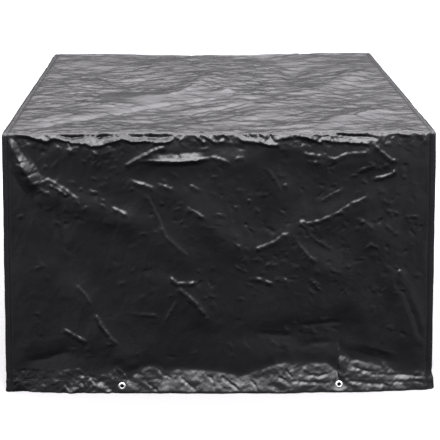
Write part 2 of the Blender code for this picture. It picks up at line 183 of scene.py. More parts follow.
# below the horizon it is dark straight ahead and lighter to both sides
sides = grey_ramp(sky, maths(sky, "ABSOLUTE", way["X"]), SIDE_STEPS)
below = spread(sky, way["Z"], 0.05, -0.10, 0.0, SIDES_LIGHTER)
lighter = maths(sky, "MULTIPLY_ADD", sides, below, 1.0)
feed(sky, sky.nodes["Background"], {"Color": SKY_COLOUR, "Strength": maths(sky, "MULTIPLY", uneven, lighter)})
print("studio: graded in", len(SKY_STEPS), "steps")

# %% Hang the softboxes
Softbox = namedtuple("Softbox", "name place width height brightness")
SOFTBOXES = (
    Softbox("softbox_front", (0.0, -6.6, 6.5), 8.0, 4.4, 6.5),
    Softbox("softbox_front_low", (0.0, -6.6, 2.9), 8.0, 1.8, 0.8),
    Softbox("softbox_left", (-5.5, -4.0, 2.6), 3.0, 2.6, 2.0),
    Softbox("softbox_right", (5.5, -4.0, 2.6), 3.0, 2.6, 2.0),
    Softbox("softbox_back_left", (-5.2, 5.0, 2.2), 3.6, 2.2, 2.4),
    Softbox("softbox_back_right", (5.2, 5.0, 2.2), 3.6, 2.2, 2.4),
)
AIM = Vector((0.0, -0.6, FLOOR + 0.45))

for box in SOFTBOXES:
    light = bpy.data.objects.new(box.name, bpy.data.lights.new(box.name, "AREA"))
    bpy.context.scene.collection.objects.link(light)
    light.data.shape = "RECTANGLE"
    light.data.size, light.data.size_y = box.width, box.height
    light.data.energy = box.brightness * math.pi * box.width * box.height
    light.location = Vector(box.place) + Vector((0.0, 0.0, FLOOR))
    light.rotation_euler = (AIM - light.location).to_track_quat("-Z", "Y").to_euler()

bpy.context.scene.view_settings.view_transform = "Standard"
bpy.context.scene.view_settings.look = "None"
print("studio:", len(SOFTBOXES), "softboxes")

# %% [markdown]
# ## Noise and creases
# Tarpaulin doesn't ripple like soft cloth. It breaks into flat facets with sharp lines between them.
# Three small tools make that: a soft noise for slow swells, a noise of flat triangles for crumpled
# film, and a crease laid along a route, steep on one side and easy on the other.

# %% Noise over a flat cloth
NOISE_CELLS = 64


def ease(t):
    t = np.clip(t, 0.0, 1.0)
    return t * t * (3.0 - 2.0 * t)


def band(values, low, high, soft):
    """1 between low and high, fading over soft outside."""
    return ease((values - low) / soft + 1.0) * ease((high - values) / soft + 1.0)


def swells(x, y, size, seed):
    """Soft noise, about -1 to 1, with bumps of this size."""
    angle = np.random.default_rng(seed).uniform(0.0, math.tau, (NOISE_CELLS, NOISE_CELLS))
    column, row = np.floor(x / size).astype(int), np.floor(y / size).astype(int)
    fx, fy = x / size - column, y / size - row
    total = np.zeros_like(x)
    for step_x in (0, 1):
        for step_y in (0, 1):
            turn = angle[(column + step_x) % NOISE_CELLS, (row + step_y) % NOISE_CELLS]
            weight_x = ease(fx) if step_x else 1.0 - ease(fx)
            weight_y = ease(fy) if step_y else 1.0 - ease(fy)
            total += weight_x * weight_y * (np.cos(turn) * (fx - step_x) + np.sin(turn) * (fy - step_y))
    return total * 1.5


def facets(x, y, size, seed):
    """Noise of flat triangles, -1 to 1: the sheet between its creases."""
    height = np.random.default_rng(seed).uniform(-1.0, 1.0, (NOISE_CELLS, NOISE_CELLS))
    skew = (x + y) / size * 0.366
    gx, gy = x / size + skew, y / size + skew
    column, row = np.floor(gx).astype(int), np.floor(gy).astype(int)
    u, v = gx - column, gy - row
    near = height[column % NOISE_CELLS, row % NOISE_CELLS]
    far = height[(column + 1) % NOISE_CELLS, (row + 1) % NOISE_CELLS]
    across = height[(column + 1) % NOISE_CELLS, row % NOISE_CELLS]
    up = height[column % NOISE_CELLS, (row + 1) % NOISE_CELLS]
    return np.where(
        u > v,
        near * (1.0 - u) + across * (u - v) + far * v,
        near * (1.0 - v) + up * (v - u) + far * u,
    )


def bent(x, y, size, amount, seed):
    """The same places, pushed about a little, so that straight lines wander."""
    return x + amount * swells(x, y, size, seed), y + amount * swells(x, y, size, seed + 1)


def crumple(x, y, size, seed, stretch=1.0, turn=0.0):
    """Two layers of facets, the second finer, on bent coordinates."""
    c, s = math.cos(turn), math.sin(turn)
    along, beside = (c * x + s * y) / stretch, c * y - s * x
    along, beside = bent(along, beside, size * 1.7, size * 0.45, seed)
    return 0.7 * facets(along, beside, size, seed + 2) + 0.3 * facets(beside, along, size * 0.45, seed + 3)


# %% A crease along a route
Crease = namedtuple("Crease", "rise above below route")
TAPER = 0.022
CUSP = 1.3
BREAK_SIZE = 0.015
WANDER, WANDER_SIZE = 0.0020, 0.022
TREMBLE, TREMBLE_SIZE = 0.0018, 0.011
THIN, THIN_BOOST = 0.0072, 1.15
ROUND_FROM = 0.012
WIDE_FROM = 0.008


def fold(rise, above, below, *route):
    """A crease in millimetres: its rise, its two flanks, and the places that it runs through."""
    return Crease(rise / 1000, above / 1000, below / 1000, [(x / 1000, y / 1000) for x, y in route])


def lay_crease(lift, x, y, crease, seed):
    """Adds a ridge (rise above 0) or a trough: its upper and its lower flank have their own widths."""
    route = np.array(crease.route, float)
    reach = max(crease.above, crease.below) + 2 * (WANDER + TREMBLE)
    low, high = route.min(0) - reach, route.max(0) + reach
    near = (x > low[0]) & (x < high[0]) & (y > low[1]) & (y < high[1])
    if not near.any():
        return
    px, py = bent(x[near], y[near], WANDER_SIZE, WANDER, seed)
    px, py = bent(px, py, TREMBLE_SIZE, TREMBLE, seed + 7)
    best = np.full(px.shape, np.inf)
    upper = np.zeros(px.shape, bool)
    along = np.zeros(px.shape)
    done = 0.0
    for start, end in zip(route, route[1:]):
        run = end - start
        length = math.hypot(*run)
        t = np.clip(((px - start[0]) * run[0] + (py - start[1]) * run[1]) / length**2, 0.0, 1.0)
        dx, dy = px - start[0] - t * run[0], py - start[1] - t * run[1]
        distance = np.hypot(dx, dy)
        side = (dy * run[0] - dx * run[1]) * (1.0 if run[0] >= 0 else -1.0)
        closer = distance < best
        best[closer] = distance[closer]
        upper[closer] = side[closer] > 0
        along[closer] = (done + t * length)[closer]
        done += length
    width = np.where(upper, crease.above, crease.below)
    shape = np.clip(1.0 - best / width, 0.0, 1.0) ** (CUSP if crease.above < ROUND_FROM else 1.0)
    taper = min(max(TAPER, 2.0 * crease.above), done * 0.45)
    ends = ease(along / taper) * ease((done - along) / taper)
    wide = max(1.0, crease.above / WIDE_FROM)
    wave = swells(along, np.full_like(along, seed * 0.37), BREAK_SIZE * wide, seed)
    broken = 1.0 - 0.20 / wide + 0.48 / wide * wave
    boost = THIN_BOOST if crease.above < THIN else 1.0
    lift[near] += crease.rise * boost * shape * ends * broken


def lay_creases(lift, x, y, creases, seed):
    for number, crease in enumerate(creases):
        lay_crease(lift, x, y, crease, seed + number)


Scatter = namedtuple("Scatter", "count low high lengths rises angles")


def scattered(scatter, seed):
    """Short creases thrown over a patch of the cloth, each bent once."""
    draw = np.random.default_rng(seed)
    made = []
    for _ in range(scatter.count):
        middle = np.array([draw.uniform(a, b) for a, b in zip(scatter.low, scatter.high)])
        length = draw.uniform(*scatter.lengths)
        angle = math.radians(draw.uniform(*scatter.angles))
        bend = angle + math.radians(draw.uniform(-35.0, 35.0))
        rise = draw.uniform(*scatter.rises) * draw.choice((1.0, 1.0, -1.0))
        first = middle - length * 0.5 * np.array([math.cos(angle), math.sin(angle)])
        last = middle + length * 0.5 * np.array([math.cos(bend), math.sin(bend)])
        flank = draw.uniform(0.005, 0.009)
        made.append(Crease(rise, flank, flank * draw.uniform(1.2, 3.0), (first, middle, last)))
    return made


# %% [markdown]
# ## Laying a sheet on its solid
# The cloth could be simulated, but then its folds would fall where they like. Here they have to fall
# as on the real cover. So each sheet starts on a plain rounded box, and every point is moved along its
# own direction until it meets the solid. A blur takes off the solid's flats, and the creases go on top.

# %% The plain box under the folds
HEIGHT = 0.95
ROLL = 0.020
SHOULDER_HALF = 0.735
FOOT_HALF_WIDTH = 0.765
FOOT_HALF_DEPTH = 0.745
HEM_TALL = 0.050
HEM_DEPTH = 0.0026
SHOULDER = HEIGHT - ROLL
ARC = ROLL * math.pi / 2
TOP_LONG = 2 * (SHOULDER_HALF - ROLL)
TOP_START = SHOULDER + ARC
TOP_END = TOP_START + TOP_LONG
TOP_LEVEL = FLOOR + HEIGHT


def half_width(height):
    return SHOULDER_HALF + (FOOT_HALF_WIDTH - SHOULDER_HALF) * (1.0 - np.minimum(height, SHOULDER) / SHOULDER)


def half_depth(height):
    return SHOULDER_HALF + (FOOT_HALF_DEPTH - SHOULDER_HALF) * (1.0 - np.minimum(height, SHOULDER) / SHOULDER)


CLOTH_NODES = [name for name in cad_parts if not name.startswith("eyelet")]
points, polygons = [], []
for name in CLOTH_NODES:
    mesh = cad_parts[name].data
    first = len(points)
    points += [vertex.co.copy() for vertex in mesh.vertices]
    polygons += [[first + v for v in polygon.vertices] for polygon in mesh.polygons]
solid = BVHTree.FromPolygons(points, polygons)
SEAM_INSET = 0.001
CAST_FROM = 0.060
CAST_REACH = 0.130


def reach_of_solid(plain, facing, inset):
    """How far outside its plain place each point meets the solid, or nan where it meets none."""
    found = np.full(plain.shape[:2], np.nan)
    for row in range(plain.shape[0]):
        for column in range(plain.shape[1]):
            normal = Vector(facing[row, column])
            start = Vector(plain[row, column]) + Vector(inset[row, column]) + normal * CAST_FROM
            hit = solid.ray_cast(start, -normal, CAST_REACH)
            if hit[0] is not None:
                found[row, column] = CAST_FROM - hit[3]
    return found


def blurred(values, radius_rows, radius_columns):
    """A soft blur that also fills the places where there is no value."""
    known = np.isfinite(values)
    total, weight = np.where(known, values, 0.0), known.astype(float)
    for axis, radius in ((0, radius_rows), (1, radius_columns)):
        steps = np.arange(-int(3 * radius), int(3 * radius) + 1)
        share = np.exp(-0.5 * (steps / radius) ** 2)
        pad = [(0, 0), (0, 0)]
        pad[axis] = (len(steps) // 2, len(steps) // 2)
        wide_total = np.pad(total, pad, "edge")
        wide_weight = np.pad(weight, pad, "edge")
        length = total.shape[axis]
        total = sum(s * np.take(wide_total, range(i, i + length), axis) for i, s in enumerate(share))
        weight = sum(s * np.take(wide_weight, range(i, i + length), axis) for i, s in enumerate(share))
    return total / weight


# %% Rows of the wrap, from the hem inside the front to the hem inside the back
COLUMNS = 384
FRONT_ROWS = 224
TOP_ROWS = 250
BACK_ROWS = 160
ARC_ROWS = 8
FIRST_LEVEL = 0.004
# the hem turned up inside: each row's height, and the share of the hem's depth that it lies inside
TURNED_UP = (
    (0.050, 1.0), (0.034, 1.0), (0.018, 1.0), (0.004, 1.0), (0.0008, 0.82), (0.0, 0.5), (0.0008, 0.18),
)
TUCKED = len(TURNED_UP)

Row = namedtuple("Row", "flat y z out_y out_z inside")


def rolled(flat, centre_y, begin):
    """Rows over a rounded edge, a quarter turn on from where it begins."""
    made = []
    for step in range(1, ARC_ROWS):
        turn = math.pi / 2 * step / ARC_ROWS
        out_y, out_z = -math.cos(begin + turn), math.sin(begin + turn)
        y, z = centre_y + ROLL * out_y, TOP_LEVEL - ROLL + ROLL * out_z
        made.append(Row(flat + ROLL * turn, y, z, out_y, out_z, 0.0))
    return made


def wrap_rows():
    front = list(TURNED_UP) + [(height, 0.0) for height in np.linspace(FIRST_LEVEL, SHOULDER, FRONT_ROWS)]
    back = [(height, 0.0) for height in np.linspace(SHOULDER, FIRST_LEVEL, BACK_ROWS)] + list(TURNED_UP[::-1])
    edge = SHOULDER_HALF - ROLL
    made = [Row(h, -half_depth(h), FLOOR + h, -1.0, 0.0, deep * HEM_DEPTH) for h, deep in front]
    made += rolled(SHOULDER, -edge, 0.0)
    top = np.linspace(-edge, edge, TOP_ROWS)
    made += [Row(TOP_START + y + edge, y, TOP_LEVEL, 0.0, 1.0, 0.0) for y in top]
    made += rolled(TOP_END, edge, math.pi / 2)
    foot = TOP_END + ARC + SHOULDER
    made += [Row(foot - h, half_depth(h), FLOOR + h, 1.0, 0.0, deep * HEM_DEPTH) for h, deep in back]
    return made


rows = wrap_rows()
WRAP_LONG = 2 * TOP_START + TOP_LONG
# the long cloth is cut in three just behind its rounded edges
CUT_IN = 4
split_front = TUCKED + FRONT_ROWS + ARC_ROWS - 1 + CUT_IN
split_back = split_front - CUT_IN + TOP_ROWS - CUT_IN
print("the wrap has", len(rows), "rows of", COLUMNS + 1, "points and is", round(WRAP_LONG, 3), "m long")

# %% Lay the wrap on the solid
ROW_STEP, COLUMN_STEP = 0.0045, 0.0039
BLUR = 0.012
WALL_BLUR = 0.022

by_row = [np.repeat(values[:, None], COLUMNS + 1, 1) for values in np.array(rows).T]
flat_y, plain_y, plain_z, out_y, out_z, inside = by_row
heights = plain_z[:, 0] - FLOOR
seam_x = half_width(heights) - ROLL
flat_x = np.linspace(-1.0, 1.0, COLUMNS + 1)[None, :] * seam_x[:, None]
plain = np.stack([flat_x, plain_y, plain_z], -1)
facing = np.stack([np.zeros_like(flat_x), out_y, out_z], -1)
inset = np.zeros_like(plain)
inset[:, 0, 0] = SEAM_INSET
inset[:, -1, 0] = -SEAM_INSET
outer = slice(TUCKED, len(rows) - TUCKED)
cloth_x, cloth_y = flat_x[outer], flat_y[outer]
raw = reach_of_solid(plain[outer], facing[outer], inset[outer])
print("missed rays:", int(np.isnan(raw).sum()), "of", raw.size)
fine = blurred(raw, BLUR / ROW_STEP, BLUR / COLUMN_STEP)
wide = blurred(raw, WALL_BLUR / ROW_STEP, WALL_BLUR / COLUMN_STEP)
wrap_base = fine + (wide - fine) * band(cloth_y, 0.16, 0.86, 0.06)
wrap_lift = wrap_base.copy()
print("the solid stands out from", round(np.nanmin(raw), 4), "to", round(np.nanmax(raw), 4))

# %% [markdown]
# ## The creases of the front
# Each row of the table is one crease that shows on the real cover, in millimetres across from the
# middle and above the floor. The steep flank faces up, where the lights are, so it draws a thin bright
# line. The wide ones are folds whose whole upper side is lit.

# %% Creases of the front
FRONT_CREASES = (
    # the wide bright folds in the upper left corner and the row of short ones running down from it
    fold(11, 20, 34, (-712, 940), (-704, 915), (-692, 888), (-664, 838), (-648, 805)),
    fold(18, 40, 45, (-692, 880), (-662, 826), (-636, 780), (-610, 738)),
    fold(-4.4, 8, 7, (-700, 846), (-645, 852)),
    fold(-3, 7, 11, (-672, 800), (-640, 812), (-606, 818)),
    fold(3.6, 10, 12, (-652, 772), (-605, 780), (-572, 792)),
    fold(5, 10, 14, (-625, 757), (-595, 744), (-570, 736)),
    fold(4.4, 8, 28, (-609, 800), (-558, 775), (-523, 751), (-476, 713)),
    fold(3.2, 6, 8, (-592, 778), (-545, 751), (-508, 722)),
    fold(4, 8, 20, (-560, 768), (-530, 742)),
    fold(3.4, 6, 16, (-457, 750), (-407, 742)),
    fold(3, 6, 14, (-411, 720), (-390, 712)),
    fold(3.2, 6, 14, (-408, 705), (-385, 684)),
    fold(4, 7, 16, (-380, 691), (-345, 678), (-310, 658)),
    fold(2.6, 6, 14, (-402, 650), (-372, 625)),
    fold(2.4, 6, 16, (-285, 596), (-240, 596)),
    fold(2.6, 14, 22, (-625, 741), (-604, 683)),
    fold(-2.4, 22, 14, (-554, 728), (-537, 546), (-500, 495)),
    # short folds under the left of the edge
    fold(3.6, 6, 16, (-527, 891), (-497, 898), (-460, 908)),
    fold(3, 6, 14, (-470, 864), (-458, 853), (-444, 850)),
    fold(5.6, 12, 12, (-435, 895), (-420, 879), (-409, 891)),
    fold(3, 7, 14, (-390, 882), (-361, 892)),
    # the long slanting fold and the lens under the edge, left of the middle
    fold(5.6, 8, 22, (-327, 837), (-282, 861), (-234, 886), (-173, 911)),
    fold(4, 8, 14, (-280, 856), (-185, 855), (-124, 853), (-60, 858), (-5, 866)),
    fold(-3, 5, 6, (-150, 884), (-128, 852)),
    fold(12.2, 25, 18, (-252, 858), (-150, 852), (-40, 860)),
    fold(4.6, 8, 16, (-26, 869), (9, 854), (39, 841)),
    fold(3.6, 7, 14, (43, 854), (62, 861), (90, 863)),
    # short folds left of the middle
    fold(4.6, 8, 22, (-314, 790), (-212, 753)),
    fold(4, 8, 20, (-220, 777), (-152, 749)),
    fold(3, 6, 16, (-114, 771), (-54, 741)),
    fold(4.6, 9, 18, (-122, 692), (-43, 645)),
    fold(2.4, 6, 14, (-54, 617), (-5, 616)),
    fold(2.2, 6, 14, (47, 562), (71, 538)),
    fold(2.6, 9, 18, (-253, 741), (-214, 655), (-191, 588), (-109, 509)),
    # the right of the middle, from the edge down
    fold(4, 7, 20, (273, 879), (315, 869), (357, 865)),
    fold(3.8, 6, 20, (357, 865), (389, 855), (425, 872), (450, 875), (495, 879), (510, 870)),
    fold(3.6, 6, 16, (290, 852), (324, 845), (354, 848)),
    fold(4.4, 7, 18, (512, 911), (532, 898), (565, 866), (585, 853), (613, 851)),
    fold(4.8, 8, 16, (462, 806), (499, 824), (536, 834)),
    fold(4.8, 7, 16, (514, 785), (557, 792), (591, 806), (600, 832)),
    fold(2, 10, 14, (148, 832), (186, 791), (212, 737)),
    fold(2.6, 6, 14, (88, 711), (111, 707)),
    fold(2.8, 6, 14, (125, 728), (180, 731)),
    fold(2.8, 7, 16, (341, 704), (430, 753)),
    fold(3.6, 6, 16, (267, 639), (299, 625), (346, 636), (394, 658)),
    fold(3.4, 6, 18, (394, 658), (454, 699), (509, 724)),
    fold(3.4, 6, 14, (267, 639), (301, 604)),
    fold(5, 9, 20, (115, 530), (188, 558), (217, 583), (247, 591)),
    fold(4.8, 9, 18, (262, 566), (301, 514), (340, 480)),
    fold(2.6, 6, 14, (316, 575), (397, 526)),
    fold(3, 6, 14, (382, 467), (406, 443), (432, 450)),
    fold(2.6, 7, 18, (481, 646), (538, 599)),
    fold(2.8, 6, 14, (509, 555), (562, 529)),
    fold(2.4, 7, 14, (563, 676), (628, 654)),
    # low on the wall
    fold(2.6, 6, 14, (75, 464), (96, 445)),
    fold(5.2, 9, 16, (113, 426), (150, 417), (193, 400)),
    fold(2.6, 6, 14, (219, 425), (240, 407)),
    fold(5.2, 9, 16, (-180, 439), (-148, 410), (-75, 412)),
    fold(6.2, 11, 18, (-150, 398), (-82, 334), (-51, 285)),
    fold(2.4, 7, 16, (-317, 297), (-213, 289)),
    fold(3, 9, 14, (-148, 351), (-195, 262)),
    fold(3.6, 8, 16, (-506, 409), (-467, 366), (-450, 325)),
    fold(6, 10, 18, (-440, 300), (-413, 247), (-383, 202), (-359, 179)),
    fold(2.6, 6, 14, (-409, 187), (-367, 179)),
    fold(5.6, 9, 18, (-556, 243), (-464, 186)),
    fold(2.4, 6, 14, (-649, 466), (-611, 476)),
    fold(2.4, 7, 14, (-703, 654), (-665, 663)),
    fold(-3, 18, 18, (607, 422), (648, 363), (690, 270), (715, 180)),
    fold(-3, 22, 16, (-697, 110), (-609, 125), (-526, 155)),
    fold(-3, 20, 16, (276, 148), (333, 172), (415, 175)),
    fold(7, 80, 32, (405, 185), (500, 168), (600, 138), (705, 105)),
    fold(-2.4, 18, 14, (122, 213), (268, 201)),
    fold(-2.4, 16, 12, (282, 239), (356, 248), (446, 251)),
)

# Rolls and hollows just under the front edge, where the top's fullness is pushed over it.
EDGE_CREASES = (
    # one long roll left of the middle, and the dark hollow between it and the edge
    fold(
        9, 12, 10,
        (-700, 950), (-640, 938), (-586, 924), (-557, 932), (-508, 925), (-500, 919), (-454, 917),
        (-430, 906), (-381, 916), (-327, 935), (-298, 921), (-254, 928), (-210, 920), (-180, 922),
        (-150, 929),
    ),
    fold(-11, 14, 7, (-556, 946), (-503, 931), (-474, 937), (-425, 942), (-395, 955)),
    fold(-11, 14, 7, (-435, 930), (-396, 935), (-337, 941), (-279, 934), (-215, 932), (-150, 934)),
    fold(-4, 5, 5, (-395, 950), (-420, 918)),
    fold(-4, 5, 5, (-240, 936), (-222, 912)),
    fold(-4, 5, 5, (-470, 935), (-452, 908)),
    fold(-3.6, 5, 5, (-335, 940), (-300, 916)),
    fold(-3.6, 5, 5, (-600, 945), (-560, 922)),
    fold(-4, 5, 6, (-520, 930), (-500, 905)),
    fold(-4, 6, 6, (-365, 925), (-345, 938), (-320, 930)),
    fold(-3.6, 5, 5, (-285, 925), (-262, 905)),
    fold(-4, 5, 5, (-190, 932), (-172, 908)),
    fold(-3.6, 5, 5, (236, 946), (262, 924)),
    fold(-3.6, 5, 5, (372, 932), (392, 908)),
    fold(-3.6, 5, 5, (436, 930), (448, 910)),
    # in the middle only a few folds stand under the edge
    fold(6, 7, 8, (-160, 943), (-132, 924), (-114, 942)),
    fold(7, 7, 10, (-90, 945), (-42, 907)),
    fold(7, 9, 10, (-56, 944), (-17, 914), (4, 916), (24, 928)),
    fold(6, 7, 8, (-6, 938), (14, 944), (38, 924)),
    # the fan and the two rolls right of the middle
    fold(9, 15, 10, (45, 940), (67, 927), (100, 916), (137, 914), (185, 906), (215, 910)),
    fold(7, 12, 10, (175, 920), (229, 934), (297, 934), (340, 920)),
    fold(7.5, 11, 10, (280, 936), (336, 915), (346, 922), (400, 916), (468, 912), (512, 908)),
    fold(-8.5, 10, 7, (262, 962), (318, 948), (380, 945), (430, 935), (540, 928)),
    fold(-6, 5, 5, (86, 958), (112, 922)),
    fold(-6, 5, 5, (118, 958), (152, 914)),
    fold(-6, 5, 5, (158, 955), (182, 916)),
    # small breaks at the right end
    fold(-3.6, 6, 6, (480, 942), (560, 942), (600, 949), (640, 942), (705, 944)),
    fold(3.6, 6, 6, (560, 938), (600, 944), (630, 936), (660, 943), (695, 935)),
)

FRONT_CRUMPLES = (
    Scatter(24, (-0.62, 0.88), (0.66, 0.93), (0.016, 0.050), (0.0014, 0.0028), (-40.0, 40.0)),
    Scatter(16, (-0.44, 0.845), (-0.33, 0.885), (0.015, 0.030), (0.0010, 0.0020), (-50.0, 10.0)),
    Scatter(130, (-0.62, 0.60), (0.70, 0.86), (0.014, 0.050), (0.0010, 0.0032), (-50.0, 40.0)),
    Scatter(130, (-0.10, 0.36), (0.70, 0.66), (0.014, 0.050), (0.0010, 0.0032), (-50.0, 50.0)),
    Scatter(80, (-0.70, 0.12), (0.70, 0.50), (0.014, 0.050), (0.0010, 0.0026), (-60.0, 30.0)),
)
SEED = 71
lay_creases(wrap_lift, cloth_x, cloth_y, FRONT_CREASES, SEED)
lay_creases(wrap_lift, cloth_x, cloth_y, EDGE_CREASES, SEED + 150)
for number, scatter in enumerate(FRONT_CRUMPLES):
    small = scattered(scatter, SEED + 10 + number)
    lay_creases(wrap_lift, cloth_x, cloth_y, small, SEED + 200 + 100 * number)
print(len(FRONT_CREASES) + len(EDGE_CREASES), "creases on the front")

# %% [markdown]
# ## Crumple in the hem, the top and the back
# The hem is two layers, so it stands out below an uneven line and breaks into facets. The top is
# crumpled all over in three sizes at once, and the back borrows the front's kind of folds, because the
# photograph doesn't show it.

# %% The hem's bulge and its facets
Relief = namedtuple("Relief", "rise size seed stretch turn", defaults=(1.0, 0.0))


def relief(x, y, layers, seed):
    """Crumple of several sizes on top of each other."""
    return sum(
        layer.rise * crumple(x, y, layer.size, seed + layer.seed, layer.stretch, layer.turn)
        for layer in layers
    )


# where the hem begins to stand out, in millimetres
HEM_LINE = (
    (-760, 80), (-700, 92), (-574, 82), (-502, 92), (-478, 66), (-400, 68),
    (-376, 86), (-340, 64), (-319, 62), (-285, 88), (-245, 96), (-210, 88),
    (-200, 62), (-149, 82), (-80, 80), (-16, 74), (76, 54), (134, 76),
    (200, 100), (235, 108), (303, 102), (385, 96), (414, 72), (424, 60),
    (424.5, 145), (450, 128), (470, 112), (507, 104), (590, 96), (629, 64),
    (680, 68), (735, 66), (760, 66),
)
FLARE_FROM = 0.006
FLARE_MOST = 0.0035
FLARE_DIP = 0.0030
WALL_STEP = 0.00415
HEM_CREASES = (
    fold(3, 6, 10, (-376, 96), (-340, 66), (-332, 36)),
    fold(-3, 7, 7, (-470, 70), (-455, 45), (-440, 30)),
    # long dark hollows low in the hem, right of the middle
    fold(-3.4, 8, 8, (205, 62), (235, 40), (260, 26)),
    fold(-2.8, 8, 10, (240, 42), (320, 36), (405, 30)),
    fold(-2.8, 8, 10, (450, 40), (530, 30), (610, 20)),
    fold(-2.2, 7, 8, (520, 62), (640, 52), (735, 50)),
    fold(-2, 6, 7, (560, 34), (660, 30), (735, 32)),
    fold(-3, 7, 8, (-560, 50), (-545, 25), (-535, 8)),
    fold(-3, 7, 8, (-500, 48), (-480, 20), (-470, 8)),
    fold(-3, 6, 7, (-225, 88), (-200, 60), (-165, 45)),
    fold(-3, 6, 7, (-150, 60), (-110, 30), (-80, 10)),
    fold(-3, 6, 7, (0, 60), (40, 30), (75, 8)),
    fold(-3, 6, 7, (-60, 70), (-30, 50), (-20, 30)),
    fold(-3.4, 6, 7, (-270, 40), (-235, 20), (-215, 6)),
    fold(-3.4, 6, 7, (100, 50), (125, 30), (132, 8)),
    fold(-3.4, 6, 7, (225, 85), (245, 66), (262, 50)),
    fold(-3, 6, 7, (300, 60), (350, 56), (395, 62)),
    fold(-3, 6, 7, (470, 85), (520, 70), (580, 66)),
    fold(-3.4, 6, 7, (-330, 45), (-350, 20), (-352, 6)),
)
HEM_RELIEF = (
    Relief(0.0022, 0.042, 950, 1.5, -0.35),
    Relief(0.0013, 0.018, 960, 1.8, 0.20),
    Relief(0.0007, 0.009, 970, 1.5),
)


def at_height(height):
    """The front's lift on its solid at this height, in each column."""
    row = np.clip(np.rint((height - FIRST_LEVEL) / WALL_STEP), 0, FRONT_ROWS - 1).astype(int)
    return wrap_base[row, np.arange(COLUMNS + 1)[None, :]]


line_x, line_y = np.array(HEM_LINE).T / 1000
wander_x, wander_y = bent(cloth_x, cloth_y, 0.030, 0.0030, SEED + 880)
hem_line = np.interp(wander_x, line_x, line_y)
upper, lower = at_height(hem_line), at_height(np.full_like(hem_line, FLARE_FROM))
down = np.clip((hem_line - wander_y) / (hem_line - FLARE_FROM), 0.0, 1.0)
on_front = cloth_y < 0.30
flare = np.where(on_front & (down > 0), upper + (lower - upper) * down - wrap_base, 0.0)
# it stands out most just right of the middle, and not at all beside the seams
share = on_front * (0.25 + 0.75 * ease((cloth_x - 0.12) / 0.10)) * ease((0.72 - np.abs(cloth_x)) / 0.08)
share *= 1.0 - 0.35 * ease((cloth_x - 0.48) / 0.10)
flare = np.clip(blurred(flare, 0.6, 0.6), -0.006, 0.008) + FLARE_MOST * share * down**1.2
flare -= FLARE_DIP * share * (down <= 0) * (1.0 - ease((wander_y - hem_line) / 0.05))
flare -= FLARE_DIP * share * (down > 0) * (1.0 - down) ** 2
wrap_lift += flare
lay_creases(wrap_lift, cloth_x, cloth_y, HEM_CREASES, SEED + 900)

front_hem = ease((hem_line - wander_y) / 0.012) * on_front
# the left of the hem is duller: its facets are steeper, and its foot leans in
left_dull = 1.0 - ease((cloth_x + 0.42) / 0.16)
wrap_lift += front_hem * relief(cloth_x, cloth_y, HEM_RELIEF, SEED) * (1.0 + 1.2 * left_dull)
wrap_lift -= left_dull * 0.002 * band(cloth_y, -0.1, 0.030, 0.045)
print("the hem stands out up to", round(float(flare.max()) * 1000, 1), "mm more than the solid")

# %% The top
TOP_CREASES = (
    fold(-4, 26, 18, (-690, 1005), (-520, 1113), (-382, 1229), (-225, 1367), (-32, 1475)),
    fold(-3.6, 24, 16, (-278, 1181), (-96, 1261), (80, 1374)),
    fold(3, 18, 20, (-247, 1472), (-140, 1577), (-77, 1693), (-28, 1838)),
    fold(3, 16, 18, (-21, 1664), (109, 1537)),
    fold(3.4, 18, 22, (419, 1119), (646, 1276)),
)
TOP_RELIEF = (
    Relief(0.0025, 0.090, 1100, 1.4),
    Relief(0.0036, 0.044, 1110, 1.7, 0.15),
    Relief(0.0017, 0.022, 1120, 1.6, -0.1),
)
SHOULDER_RELIEF = (Relief(0.0026, 0.034, 1200, 1.2), Relief(0.0020, 0.017, 1205))
SAG = 0.0035
CORNER_DROP = 0.006

lay_creases(wrap_lift, cloth_x, cloth_y, TOP_CREASES, SEED + 1000)
top_share = band(cloth_y, TOP_START + 0.03, TOP_END - 0.03, 0.03)
# one smooth patch left of the middle, and a calmer right and back
smooth = band(cloth_x, -0.40, -0.23, 0.06) * band(cloth_y, 1.42, 1.56, 0.06)
calmer = 1.0 - 0.12 * ease((cloth_x - 0.05) / 0.40) - 0.38 * ease((cloth_y - TOP_START - 0.85) / 0.45)
top_relief = relief(cloth_x, cloth_y, TOP_RELIEF, SEED)
wrap_lift += top_share * top_relief * (1.0 - 0.7 * smooth) * 0.92 * calmer
# the top falls a little towards its back edge
sag = ease((0.71 - np.abs(cloth_x)) / 0.30)
fall = np.clip((cloth_y - TOP_END + 0.45) / 0.45, 0.0, 1.0)
behind = 1.0 - ease((cloth_y - TOP_END - ARC) / 0.10)
wrap_lift -= SAG * sag * np.where(cloth_y < TOP_END, fall**2, behind)
shoulder_share = band(cloth_y, SHOULDER - 0.022, TOP_START + 0.004, 0.014)
wrap_lift += shoulder_share * relief(cloth_x, cloth_y, SHOULDER_RELIEF, SEED)
# its front right corner hangs lower
corner = ease((cloth_x - 0.60) / 0.12) * ease((cloth_y - SHOULDER) / ARC)
wrap_lift -= CORNER_DROP * corner * (1.0 - ease((cloth_y - TOP_START) / 0.14))
print("the top's crumple runs over", round(float(np.ptp(top_relief)) * 1000, 1), "mm")

# %% The back, and the slack all over
BACK_EDGE_RELIEF = (Relief(0.0035, 0.045, 1210, 1.6),)
BACK_HEM_RELIEF = (Relief(0.0050, 0.050, 1300, 1.5, -0.4), Relief(0.0020, 0.022, 1310, 1.6, 0.3))
WALL_RELIEF = (Relief(0.0012, 0.060, 8, 2.2, 1.3), Relief(0.0006, 0.026, 9, 1.5, 0.9))
SMALL_LONG, SMALL_RISE, SMALL_TURN = (0.014, 0.050), (0.0010, 0.0028), (-50.0, 50.0)


